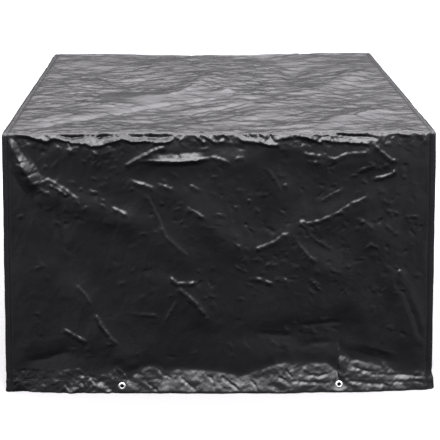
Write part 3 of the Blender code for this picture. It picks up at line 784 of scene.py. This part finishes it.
def borrowed(creases, seed, mirror, share, drift, foot=None):
    """The front's kind of folds on another panel: mirrored, moved about, some left out.
    With a foot, the panel's flat sizes run down to it, so the flanks change places."""
    draw = np.random.default_rng(seed)
    made = []
    for crease in creases:
        keep, move, size = draw.uniform(), draw.uniform(-drift, drift, 2), draw.uniform(0.65, 1.0)
        if keep > share:
            continue
        route = [
            (np.clip(mirror * x + move[0], -0.70, 0.70), y + move[1] * (y < 0.90))
            for x, y in crease.route
        ]
        above, below = crease.above, crease.below
        if foot is not None:
            above, below, route = below, above, [(x, foot - y) for x, y in route]
        made.append(Crease(crease.rise * size, above, below, route))
    return made


def slack(x, y, seed):
    """Slow swells and dents all over the cloth."""
    return 0.0009 * swells(x, y, 0.11, seed + 5) + 0.0007 * crumple(x, y, 0.060, seed + 6)


back_edge = band(cloth_y, TOP_END - 0.01, TOP_END + ARC + 0.03, 0.03)
wrap_lift += back_edge * relief(cloth_x, cloth_y, BACK_EDGE_RELIEF, SEED)
back_hem = band(cloth_y, WRAP_LONG - 0.060, WRAP_LONG + 0.1, 0.035)
wrap_lift += back_hem * relief(cloth_x, cloth_y, BACK_HEM_RELIEF, SEED)

back_creases = borrowed(FRONT_CREASES, SEED + 1400, -1.0, 0.75, 0.05, WRAP_LONG)
back_creases += borrowed(EDGE_CREASES, SEED + 1401, -1.0, 0.60, 0.02, WRAP_LONG)
back_low, back_high = (-0.68, WRAP_LONG - 0.92), (0.68, WRAP_LONG - 0.10)
back_small = scattered(Scatter(130, back_low, back_high, SMALL_LONG, SMALL_RISE, SMALL_TURN), SEED + 1402)
lay_creases(wrap_lift, cloth_x, cloth_y, back_creases, SEED + 1500)
lay_creases(wrap_lift, cloth_x, cloth_y, back_small, SEED + 1800)
print(len(back_creases), "borrowed creases on the back")

on_wall = band(cloth_y, 0.08, SHOULDER - 0.03, 0.05)
wall_swells = 0.0012 * swells(cloth_x, cloth_y, 0.13, SEED + 7)
wrap_lift += slack(cloth_x, cloth_y, SEED)
wrap_lift += on_wall * (wall_swells + relief(cloth_x, cloth_y, WALL_RELIEF, SEED))

# %% [markdown]
# ## Seams and eyelets' flat places
# At a seam both panels turn in, so each sheet dips over its last few millimetres and a dark line shows.
# Round an eyelet the hem is pressed flat, so there the sheet goes back to the solid's own face.

# %% Seams and flat places
SEAM_DIP = 0.0030
SEAM_REACH = 0.0050
EDGE_CALM = 0.018
Ring = namedtuple("Ring", "node centre out")


def find_ring(name):
    co = np.array([vertex.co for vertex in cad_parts[name].data.vertices])
    low, high = co.min(0), co.max(0)
    centre = (low + high) / 2
    _, _, axes = np.linalg.svd(co - co.mean(0), full_matrices=False)
    out = axes[2]
    out = out if out[2] > 0 else -out
    return Ring(name, centre, out)


rings = [find_ring(name) for name in sorted(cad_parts) if name.startswith("eyelet")]
print("eyelets:", [(ring.node, [round(float(v), 3) for v in ring.centre]) for ring in rings])
FLAT_RADIUS = 0.014
FLAT_SOFT = 0.016


def settle(lift, base, raw_lift, plain, facing, seam_distance):
    """Calms the creases beside the seams, flattens the hem under the rings, and dips the seams."""
    calm = 0.15 + 0.85 * ease(seam_distance / EDGE_CALM)
    lift = base + (lift - base) * calm
    for ring in rings:
        away = np.linalg.norm(plain + facing * lift[..., None] - ring.centre, axis=-1)
        flat = 1.0 - ease((away - FLAT_RADIUS) / FLAT_SOFT)
        lift = np.where(flat > 0, lift * (1 - flat) + raw_lift * flat, lift)
    return lift - SEAM_DIP * (1.0 - ease(seam_distance / SEAM_REACH))


def tuck(lift, at_heights, wanted):
    """The hem turned up inside follows the cloth in front of it."""
    place = np.clip((np.array(wanted) - at_heights[0]) / (at_heights[1] - at_heights[0]), 0.0, None)
    first = np.floor(place).astype(int)
    share = (place - first)[:, None]
    return lift[first] * (1.0 - share) + lift[first + 1] * share


SQUARENESS = 5.0


def squared(c, s):
    """How far a tighter fold stands outside the plain round roll."""
    return ROLL * ((np.abs(c) ** SQUARENESS + np.abs(s) ** SQUARENESS) ** (-1.0 / SQUARENESS) - 1.0)


raw_filled = np.where(np.isfinite(raw), raw, blurred(raw, 1.0, 1.0))
from_seam = (seam_x[:, None] - np.abs(flat_x))[outer]
wrap_lift = settle(wrap_lift, wrap_base, raw_filled, plain[outer], facing[outer], from_seam)
tucked_heights = [height for height, _ in TURNED_UP]
front_tuck = tuck(wrap_lift, heights[outer], tucked_heights)
back_tuck = tuck(wrap_lift[::-1], heights[outer][::-1], tucked_heights)[::-1]
wrap_lift = np.vstack([front_tuck, wrap_lift, back_tuck])
wrap_lift += squared(out_y, out_z)
wrap = plain + facing * (wrap_lift - inside)[..., None]
print("the wrap spans", wrap.min((0, 1)).round(3), wrap.max((0, 1)).round(3))

# %% A mesh from a laid sheet
def sheet_mesh(name, laid, normals, flat, mirrored=False):
    """A grid with its points moved to their places, flat sizes kept as its UV map."""
    rows_in, columns_in = laid.shape[:2]
    bm = bmesh.new()
    bmesh.ops.create_grid(bm, x_segments=columns_in - 1, y_segments=rows_in - 1, size=1.0)
    mesh = bpy.data.meshes.new(name)
    bm.to_mesh(mesh)
    bm.free()
    count = rows_in * columns_in
    co = np.empty(count * 3, np.float32)
    mesh.vertices.foreach_get("co", co)
    co = co.reshape(-1, 3)
    column = np.rint((co[:, 0] + 1.0) / 2.0 * (columns_in - 1)).astype(int)
    row = np.rint((co[:, 1] + 1.0) / 2.0 * (rows_in - 1)).astype(int)
    mesh.vertices.foreach_set("co", laid[row, column].astype(np.float32).ravel())
    corner = np.empty(len(mesh.loops), np.int32)
    mesh.loops.foreach_get("vertex_index", corner)
    uv = mesh.uv_layers.new(name="flat")
    uv.uv.foreach_set("vector", flat[row[corner], column[corner]].astype(np.float32).ravel())
    if mirrored:
        mesh.flip_normals()
    mesh.update()
    mesh.shade_smooth()
    mesh.normals_split_custom_set_from_vertices(normals[row, column].tolist())
    made = bpy.data.objects.new(name, mesh)
    bpy.context.scene.collection.objects.link(made)
    return made


def normals_of(laid, outward):
    """Normals of the whole laid cloth, so that parts cut from it still shade as one."""
    along_rows = np.gradient(laid, axis=0)
    along_columns = np.gradient(laid, axis=1)
    normal = np.cross(along_columns, along_rows)
    normal /= np.maximum(np.linalg.norm(normal, axis=-1, keepdims=True), 1e-12)
    flip = np.sign((normal * outward).sum(-1).mean())
    return normal * flip


wrap_normals = normals_of(wrap, facing)
wrap_flat = np.stack([flat_x, flat_y], -1)


def cut_from_wrap(name, part):
    made = sheet_mesh(name, wrap[part], wrap_normals[part], wrap_flat[part])
    print(made.name, len(made.data.polygons) * 2, "triangles")
    return made


front = cut_from_wrap("front_panel", slice(None, split_front + 1))
top = cut_from_wrap("top_panel", slice(split_front, split_back + 1))
back = cut_from_wrap("back_panel", slice(split_back, None))

# %% [markdown]
# ## The end panels
# An end panel covers one side and rolls round three of its edges to meet the wrap. Its flat grid is
# folded over the rounded corners, laid on the solid in the same way, and then its edge is drawn to the
# wrap's edge, point by point, as a sewing machine would.

# %% Lay an end panel
END_COLUMNS = 300
END_ROWS = 196
END_ROW_STEP, END_COLUMN_STEP = 0.0047, 0.0048
SEW_REACH = 0.026
END_HEM_RELIEF = (Relief(0.0045, 0.050, 0, 1.5, 0.4), Relief(0.0020, 0.022, 3, 1.6, -0.3))
END_SMALL = Scatter(120, (-0.68, 0.10), (0.68, 0.92), SMALL_LONG, SMALL_RISE, SMALL_TURN)
# the ends have no corner as full as the front's left one, and straighter upper edges
END_WALL_CREASES = [crease._replace(rise=min(crease.rise, 0.0055)) for crease in FRONT_CREASES]
END_EDGE_CREASES = [crease._replace(rise=0.4 * crease.rise) for crease in EDGE_CREASES]


def lay_end(side, seed):
    """The panel's points, the way they face, their flat places, and how far each is from its edge."""
    roll_steps = [step / ARC_ROWS for step in range(1, ARC_ROWS + 1)]
    levels = [height for height, _ in TURNED_UP] + list(np.linspace(FIRST_LEVEL, SHOULDER, END_ROWS))
    deep = [share * HEM_DEPTH for _, share in TURNED_UP] + [0.0] * (END_ROWS + ARC_ROWS)
    over_rows = [0.0] * len(levels) + roll_steps
    levels += [SHOULDER] * ARC_ROWS
    share_columns = [-1.0] * ARC_ROWS + list(np.linspace(-1.0, 1.0, END_COLUMNS)) + [1.0] * ARC_ROWS
    over_columns = roll_steps[::-1] + [0.0] * END_COLUMNS + roll_steps
    share, height = np.meshgrid(share_columns, levels)
    over_side, over_up = np.meshgrid(over_columns, over_rows)
    core_y = share * (half_depth(height) - ROLL)
    core_x = side * (half_width(height) - ROLL)
    core_z = FLOOR + np.minimum(height, SHOULDER)
    most = np.maximum(over_side, over_up)
    long = np.maximum(np.hypot(over_side, over_up), 1e-9)
    turn = most * math.pi / 2
    out_y = np.sign(share) * over_side / long * np.sin(turn)
    facing = np.stack([side * np.cos(turn), out_y, over_up / long * np.sin(turn)], -1)
    plain = np.stack([core_x, core_y, core_z], -1) + facing * ROLL
    whole_flat = np.stack([core_y + np.sign(share) * over_side * ARC, height + over_up * ARC], -1)
    inset = np.zeros_like(plain)
    inset[..., 0] = side * SEAM_INSET * (most > 0.99)
    raw = reach_of_solid(plain[TUCKED:], facing[TUCKED:], inset[TUCKED:])
    raw = np.where(np.isfinite(raw), raw, blurred(raw, 2.0, 2.0))
    base = blurred(raw, BLUR / END_ROW_STEP, BLUR / END_COLUMN_STEP)
    flat_p, flat_q = whole_flat[TUCKED:, :, 0], whole_flat[TUCKED:, :, 1]
    hem = band(flat_q, -0.1, 0.060, 0.035)
    lift = base + hem * relief(flat_p, flat_q, END_HEM_RELIEF, seed)
    folds = borrowed(END_WALL_CREASES, seed + 20, side, 0.70, 0.07)
    folds += borrowed(END_EDGE_CREASES, seed + 21, side, 0.55, 0.03)
    folds += scattered(END_SMALL, seed + 22)
    lay_creases(lift, flat_p, flat_q, folds, seed + 100)
    lift += slack(flat_p, flat_q, seed)
    edge_far = np.minimum(
        np.where(over_up > 0, (1.0 - over_up) * ARC, np.maximum(SHOULDER - height, 0.0) + ARC),
        np.where(over_side > 0, (1.0 - over_side) * ARC, half_depth(height) - ROLL - np.abs(core_y) + ARC),
    )
    lift = settle(lift, base, raw, plain[TUCKED:], facing[TUCKED:], edge_far[TUCKED:])
    lift = np.vstack([tuck(lift, height[TUCKED:, 0], levels[:TUCKED]), lift])
    lift += squared(np.cos(turn), np.sin(turn))
    laid = plain + facing * (lift - np.array(deep)[:, None])[..., None]
    return laid, facing, whole_flat, edge_far


def sew(laid, edge_far, seam_line):
    """Draws the panel's edge to the wrap's edge, and the cloth beside it along."""
    on_edge = edge_far < 1e-6
    edge = laid[on_edge]
    nearest = np.array([seam_line[np.argmin(((seam_line - p) ** 2).sum(1))] for p in edge])
    pull = nearest - edge
    print("seam: widest gap closed", round(float(np.linalg.norm(pull, axis=1).max()) * 1000, 2), "mm")
    moved = laid.copy()
    near = np.argwhere(edge_far < SEW_REACH)
    for row, column in near:
        weight = 1.0 - ease(edge_far[row, column] / SEW_REACH)
        closest = np.argmin(((edge - laid[row, column]) ** 2).sum(1))
        moved[row, column] += weight * pull[closest]
    return moved


def dense(line, count=6):
    """More points on a line, for a closer match."""
    steps = np.linspace(0.0, 1.0, count, endpoint=False)[:, None, None]
    between = line[None, :-1] * (1 - steps) + line[None, 1:] * steps
    return between.reshape(-1, 3)


# %% Sew the ends to the wrap
STITCH_LEVEL = 0.046


def stitch_line(laid, normals, level):
    """Where a row of stitches lies on a panel, and which way it faces."""
    row = int(np.argmin(np.abs(laid[:, laid.shape[1] // 2, 2] - FLOOR - level)))
    return laid[row], normals[row]


past = TUCKED + 4
half = len(rows) // 2
stitch_lines = [stitch_line(wrap[past:half], wrap_normals[past:half], STITCH_LEVEL)]
stitch_lines.append(stitch_line(wrap[half:-past], wrap_normals[half:-past], STITCH_LEVEL))
ends = []
for side, name in ((-1, "left"), (1, "right")):
    laid, out, flat, edge_far = lay_end(side, SEED + 3000 * (side + 2))
    seam_line = dense(wrap[:, 0 if side < 0 else -1])
    laid = sew(laid, edge_far, seam_line)
    end_normals = normals_of(laid, out)
    ends.append(sheet_mesh(name + "_end_panel", laid, end_normals, flat, mirrored=side < 0))
    stitch_lines.append(stitch_line(laid[past:], end_normals[past:], STITCH_LEVEL))
    print(ends[-1].name, len(ends[-1].data.polygons) * 2, "triangles")
left_end, right_end = ends

# %% [markdown]
# ## Holes and eyelets
# A hole is punched through both layers of the hem, and a two-part ring is pressed into it. The hole is
# made by taking out the faces inside the ring's flange, so its rough edge is hidden as on the real one.

# %% Punch the holes
PUNCH_RADIUS = 0.0085
PUNCH_DEPTH = 0.010


def punch(made):
    bm = bmesh.new()
    bm.from_mesh(made.data)
    gone = []
    for face in bm.faces:
        middle = face.calc_center_median()
        for ring in rings:
            away = middle - Vector(ring.centre)
            if away.length < 0.02:
                level = away.dot(Vector(ring.out))
                if abs(level) < PUNCH_DEPTH and (away - level * Vector(ring.out)).length < PUNCH_RADIUS:
                    gone.append(face)
                    break
    bmesh.ops.delete(bm, geom=gone, context="FACES")
    bm.to_mesh(made.data)
    bm.free()
    print(made.name, "lost", len(gone), "faces to its holes")


# %% Spin the rings
RING_STEPS = 64
GRIP = 0.0030
FLANGE_TALL = 0.0016
RING_PROFILE = (
    (0.00625, -GRIP - 0.0007),
    (0.00625, 0.0006),
    (0.00660, 0.0013),
    (0.00740, 0.0017),
    (0.00880, 0.0018),
    (0.01020, 0.0015),
    (0.01160, 0.0010),
    (0.01260, 0.0005),
    (0.01300, 0.0002),
    (0.01280, 0.0000),
    (0.00750, 0.0000),
    (0.00750, -GRIP),
    (0.01180, -GRIP),
    (0.01200, -GRIP - 0.0003),
    (0.01180, -GRIP - 0.0007),
    (0.00700, -GRIP - 0.0009),
)


def ring_object(ring, level):
    bm = bmesh.new()
    corners = [bm.verts.new((radius, 0.0, height)) for radius, height in RING_PROFILE]
    edges = [bm.edges.new(pair) for pair in zip(corners, corners[1:] + corners[:1])]
    bmesh.ops.spin(
        bm,
        geom=corners + edges,
        cent=(0.0, 0.0, 0.0),
        axis=(0.0, 0.0, 1.0),
        angle=math.tau,
        steps=RING_STEPS,
        use_merge=True,
    )
    bmesh.ops.remove_doubles(bm, verts=bm.verts, dist=1e-6)
    bmesh.ops.recalc_face_normals(bm, faces=bm.faces)
    turned = Vector(ring.out).to_track_quat("Z", "Y").to_matrix().to_4x4()
    bm.transform(Matrix.Translation(Vector(ring.centre) + Vector(ring.out) * level) @ turned)
    name = ring.node.replace("eyelet", "ring")
    made = bpy.data.objects.new(name, bpy.data.meshes.new(name))
    bm.to_mesh(made.data)
    bm.free()
    made.data.shade_smooth()
    bpy.context.scene.collection.objects.link(made)
    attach(made, "root")
    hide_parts(ring.node)
    return made


ring_pieces = []
for ring in rings:
    co = np.array([vertex.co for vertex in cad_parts[ring.node].data.vertices])
    reach = ((co - ring.centre) @ ring.out).max()
    ring_pieces.append(ring_object(ring, reach - FLANGE_TALL))
print("rings:", len(ring_pieces), "of", len(ring_pieces[0].data.polygons) * 2, "triangles")

# %% [markdown]
# ## Stitches along the hems
# The turned-up hem is held by one row of lockstitch. There are over a thousand, so they are worked out
# together as arrays: each stitch is a short thread that rises out of the cloth and dips back into it.

# %% Sew the hems
STITCH_LONG = 0.0040
STITCH_GAP = 0.0012
STITCH_MARGIN = 0.012
THREAD_HALF = 0.00035
ARCH = ((0.0, -0.00035), (0.25, 0.00015), (0.75, 0.00015), (1.0, -0.00035))


def stitches_along(line, out):
    """The points of every stitch on one line, four rings of four points each."""
    step = np.linalg.norm(np.diff(line, axis=0), axis=1)
    run = np.concatenate([[0.0], np.cumsum(step)])
    starts = np.arange(STITCH_MARGIN, run[-1] - STITCH_MARGIN, STITCH_LONG + STITCH_GAP)
    starts += 0.0003 * swells(starts, np.zeros_like(starts), 0.01, SEED + 7000)

    def at(values, place):
        return np.stack([np.interp(place, run, values[:, axis]) for axis in range(3)], -1)

    normal = at(out, starts + STITCH_LONG / 2)
    normal /= np.linalg.norm(normal, axis=1, keepdims=True)
    along = at(line, starts + STITCH_LONG) - at(line, starts)
    along /= np.linalg.norm(along, axis=1, keepdims=True)
    beside = np.cross(normal, along)
    rings_of_points = []
    for share, rise in ARCH:
        centre = at(line, starts + share * STITCH_LONG) + rise * normal
        for a, b in ((1, 0), (0, 1), (-1, 0), (0, -1)):
            rings_of_points.append(centre + THREAD_HALF * (a * beside + b * normal))
    return np.stack(rings_of_points, 1)


stitch_points = np.concatenate([stitches_along(line, out) for line, out in stitch_lines])
one = [
    [4 * r + c, 4 * r + (c + 1) % 4, 4 * r + 4 + (c + 1) % 4, 4 * r + 4 + c]
    for r in range(3) for c in range(4)
]
one += [[3, 2, 1, 0], [12, 13, 14, 15]]
stitch_faces = (np.array(one)[None] + 16 * np.arange(len(stitch_points))[:, None, None]).reshape(-1, 4)
stitching = bpy.data.objects.new("hem_stitching", bpy.data.meshes.new("hem_stitching"))
stitching.data.from_pydata(stitch_points.reshape(-1, 3).tolist(), [], stitch_faces.tolist())
bm = bmesh.new()
bm.from_mesh(stitching.data)
bmesh.ops.recalc_face_normals(bm, faces=bm.faces)
bm.to_mesh(stitching.data)
bm.free()
stitching.data.shade_smooth()
bpy.context.scene.collection.objects.link(stitching)
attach(stitching, "root")
print("stitches:", len(stitch_points), "and", 2 * len(stitch_faces), "triangles")

# %% [markdown]
# ## Finishes
# Woven tape under a thin glossy film: nearly black, mirror-like at a flat angle, with a faint grid of
# the tapes and small crinkles. The weave reads the flat sizes kept in the UV map, so it follows the
# cloth round every fold. The rings are bright stamped metal.

# %% The tape weave as a node group
TAPE_PITCH = 0.0026

weave = bpy.data.node_groups.new("woven tape", "ShaderNodeTree")
weave.interface.new_socket("Flat place", in_out="INPUT", socket_type="NodeSocketVector")
pitch = weave.interface.new_socket("Pitch", in_out="INPUT", socket_type="NodeSocketFloat")
pitch.default_value = TAPE_PITCH
weave.interface.new_socket("Height", in_out="OUTPUT", socket_type="NodeSocketFloat")
entry, leave = weave.nodes.new("NodeGroupInput"), weave.nodes.new("NodeGroupOutput")
split = add_node(weave, "SeparateXYZ", {0: entry.outputs["Flat place"]})
waves = []
for axis in ("X", "Y"):
    tapes = maths(weave, "DIVIDE", split.outputs[axis], entry.outputs["Pitch"])
    waves.append(maths(weave, "SINE", maths(weave, "MULTIPLY", tapes, math.pi)))
over_under = maths(weave, "MULTIPLY", *waves)
feed(weave, leave, {"Height": maths(weave, "ABSOLUTE", over_under)})
print("the tapes are", TAPE_PITCH * 1000, "mm wide")


# %% Patterns that the finishes share
def noise(tree, place, scale, detail):
    return add_node(tree, "TexNoise", {"Vector": place, "Scale": scale, "Detail": detail}).outputs["Fac"]


def two_tone(tree, share, first, second):
    mix = add_node(tree, "Mix", {"Factor": share, "A": first, "B": second}, data_type="RGBA")
    return mix.outputs["Result"]


def bump(tree, height, distance, **under):
    """Height as a tilt of the surface, on top of the tilt under it if there is one."""
    inputs = {"Height": height, "Distance": distance, "Strength": 1.0, **under}
    return add_node(tree, "Bump", inputs).outputs["Normal"]


# %% Tarpaulin
TARPAULIN_TONES = ((0.0026, 0.0026, 0.0030, 1.0), (0.0043, 0.0043, 0.0050, 1.0))
TARPAULIN_IOR = 1.50
CRINKLE_DEEP = 0.0005
TAPE_DEEP = 0.00006

tarpaulin, tree, shader = new_finish("black_tarpaulin")
on_cloth = add_node(tree, "UVMap", uv_map="flat").outputs["UV"]
tape = add_node(tree, "Group", {"Flat place": on_cloth}, node_tree=weave)
mottle = noise(tree, on_cloth, 9.0, 3.0)
crinkled = bump(tree, noise(tree, on_cloth, 85.0, 2.0), CRINKLE_DEEP)
looks = {
    "IOR": TARPAULIN_IOR,
    "Base Color": two_tone(tree, mottle, *TARPAULIN_TONES),
    "Roughness": spread(tree, mottle, 0.3, 0.7, 0.20, 0.30),
    "Normal": bump(tree, tape.outputs["Height"], TAPE_DEEP, Normal=crinkled),
}
feed(tree, shader, looks)

# %% Ring metal
METAL_TONES = ((0.36, 0.36, 0.355, 1.0), (0.46, 0.46, 0.455, 1.0))

metal, tree, shader = new_finish("eyelet_metal")
scuff = noise(tree, add_node(tree, "TexCoord").outputs["Object"], 900.0, 3.0)
looks = {
    "Metallic": 1.0,
    "Base Color": two_tone(tree, scuff, *METAL_TONES),
    "Roughness": spread(tree, scuff, 0.0, 1.0, 0.24, 0.42),
}
feed(tree, shader, looks)

# %% Thread
THREAD_TONES = ((0.006, 0.006, 0.007, 1.0), (0.018, 0.018, 0.020, 1.0))
TWIST_DEEP = 0.0001

thread, tree, shader = new_finish("black_thread")
fibre = noise(tree, add_node(tree, "TexCoord").outputs["Object"], 1400.0, 2.0)
looks = {
    "Sheen Weight": 0.3,
    "Base Color": two_tone(tree, fibre, *THREAD_TONES),
    "Roughness": spread(tree, fibre, 0.0, 1.0, 0.45, 0.75),
    "Normal": bump(tree, fibre, TWIST_DEEP),
}
feed(tree, shader, looks)
print("finishes:", tarpaulin.name, metal.name, thread.name)

# %% [markdown]
# Each sheet is listed with the solids it stands for and the flat size it was cut to. Its solids are
# hidden and it gets the tarpaulin finish. All of them hang on the one body, because a cover has no joint.

FLAT_WIDTH = 1.50
WALL_FLAT = (FLAT_WIDTH, SHOULDER + ARC + HEM_TALL)
TOP_FLAT = (FLAT_WIDTH - 0.03, TOP_LONG)
Panel = namedtuple("Panel", "piece nodes flat")
PANELS = (
    Panel(front, ("wrap_panel", "hem_front"), WALL_FLAT),
    Panel(top, ("wrap_panel",), TOP_FLAT),
    Panel(back, ("wrap_panel", "hem_back"), WALL_FLAT),
    Panel(left_end, ("side_panel_left", "hem_left"), WALL_FLAT),
    Panel(right_end, ("side_panel_right", "hem_right"), WALL_FLAT),
)

stitching.data.materials.append(thread)
for piece in ring_pieces:
    piece.data.materials.append(metal)
for panel in PANELS:
    if panel.piece is not top:
        punch(panel.piece)
    panel.piece.data.materials.append(tarpaulin)
    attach(panel.piece, "root")
    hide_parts(*panel.nodes)
